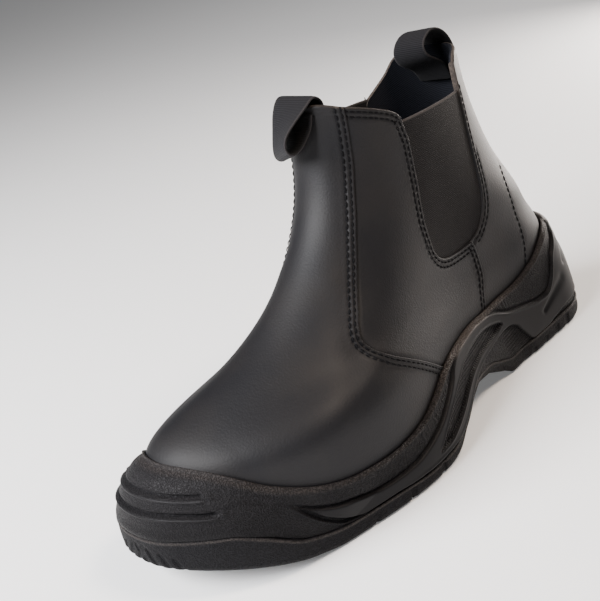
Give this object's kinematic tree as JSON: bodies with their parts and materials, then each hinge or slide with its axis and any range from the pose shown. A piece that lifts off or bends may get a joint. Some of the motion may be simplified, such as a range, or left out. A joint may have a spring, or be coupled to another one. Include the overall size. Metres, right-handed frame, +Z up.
{
  "type": "side gore work boot",
  "caption": "Black leather pull-on work boot for the left foot, with elastic side gores, two webbing pull loops and a lugged rubber sole with a toe bumper.",
  "frame": {"origin": "centre of the bounding box's bottom, on the floor under the boot", "axes": "+X towards the toe, +Y towards the boot's outer (lateral) side, +Z up"},
  "size_m": [0.3178, 0.1204, 0.1896],
  "materials": {
    "outsole_rubber": "matte",
    "foxing_rubber": "satin",
    "leather": "satin",
    "elastic": "matte",
    "webbing": "matte",
    "footbed": "matte"
  },
  "bodies": {
    "root": {"outsole": "outsole_rubber", "midsole": "foxing_rubber", "upper": "leather", "gore_lateral": "elastic", "gore_medial": "elastic", "pull_loop_front": "webbing", "pull_loop_back": "webbing", "insole": "footbed"}
  },
  "joints": []
}
